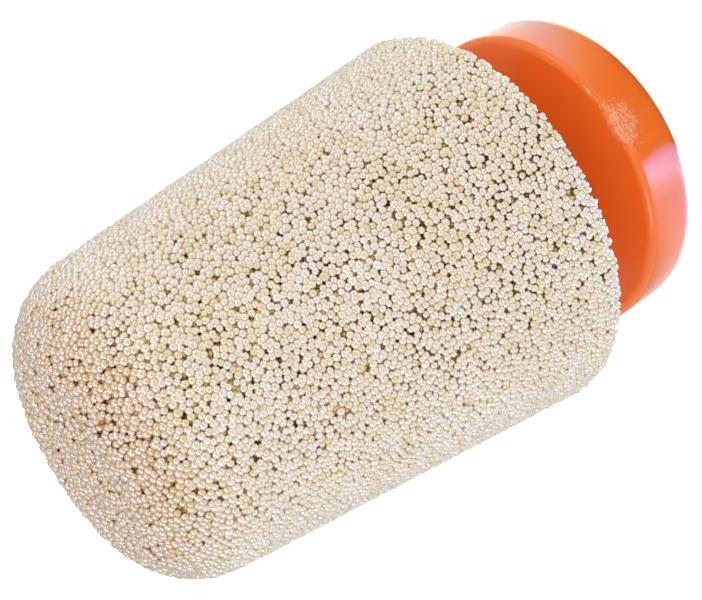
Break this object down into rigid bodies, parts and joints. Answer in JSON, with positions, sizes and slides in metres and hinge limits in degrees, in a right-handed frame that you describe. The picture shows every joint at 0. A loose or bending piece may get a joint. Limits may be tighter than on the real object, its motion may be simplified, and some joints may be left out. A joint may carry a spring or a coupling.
{
  "type": "fluid hose filter",
  "caption": "Tapered thimble of sintered metal beads, closed and rounded at one end, with a flanged plastic hose fitting pressed into its open mouth.",
  "frame": {"origin": "centre of the flange's back face, on which the filter stands", "axes": "+Z along the axis of both pieces, from the flange towards the closed end of the cup; X and Y are alike"},
  "size_m": [0.016, 0.016, 0.0248],
  "materials": {
    "sintered_bronze": "bare sintered beads, rough and porous, with a satin sheen on each bead",
    "orange_plastic": "glossy as moulded"
  },
  "bodies": {
    "root": {"sintered_cup": "sintered_bronze", "hose_fitting": "orange_plastic"}
  },
  "joints": []
}
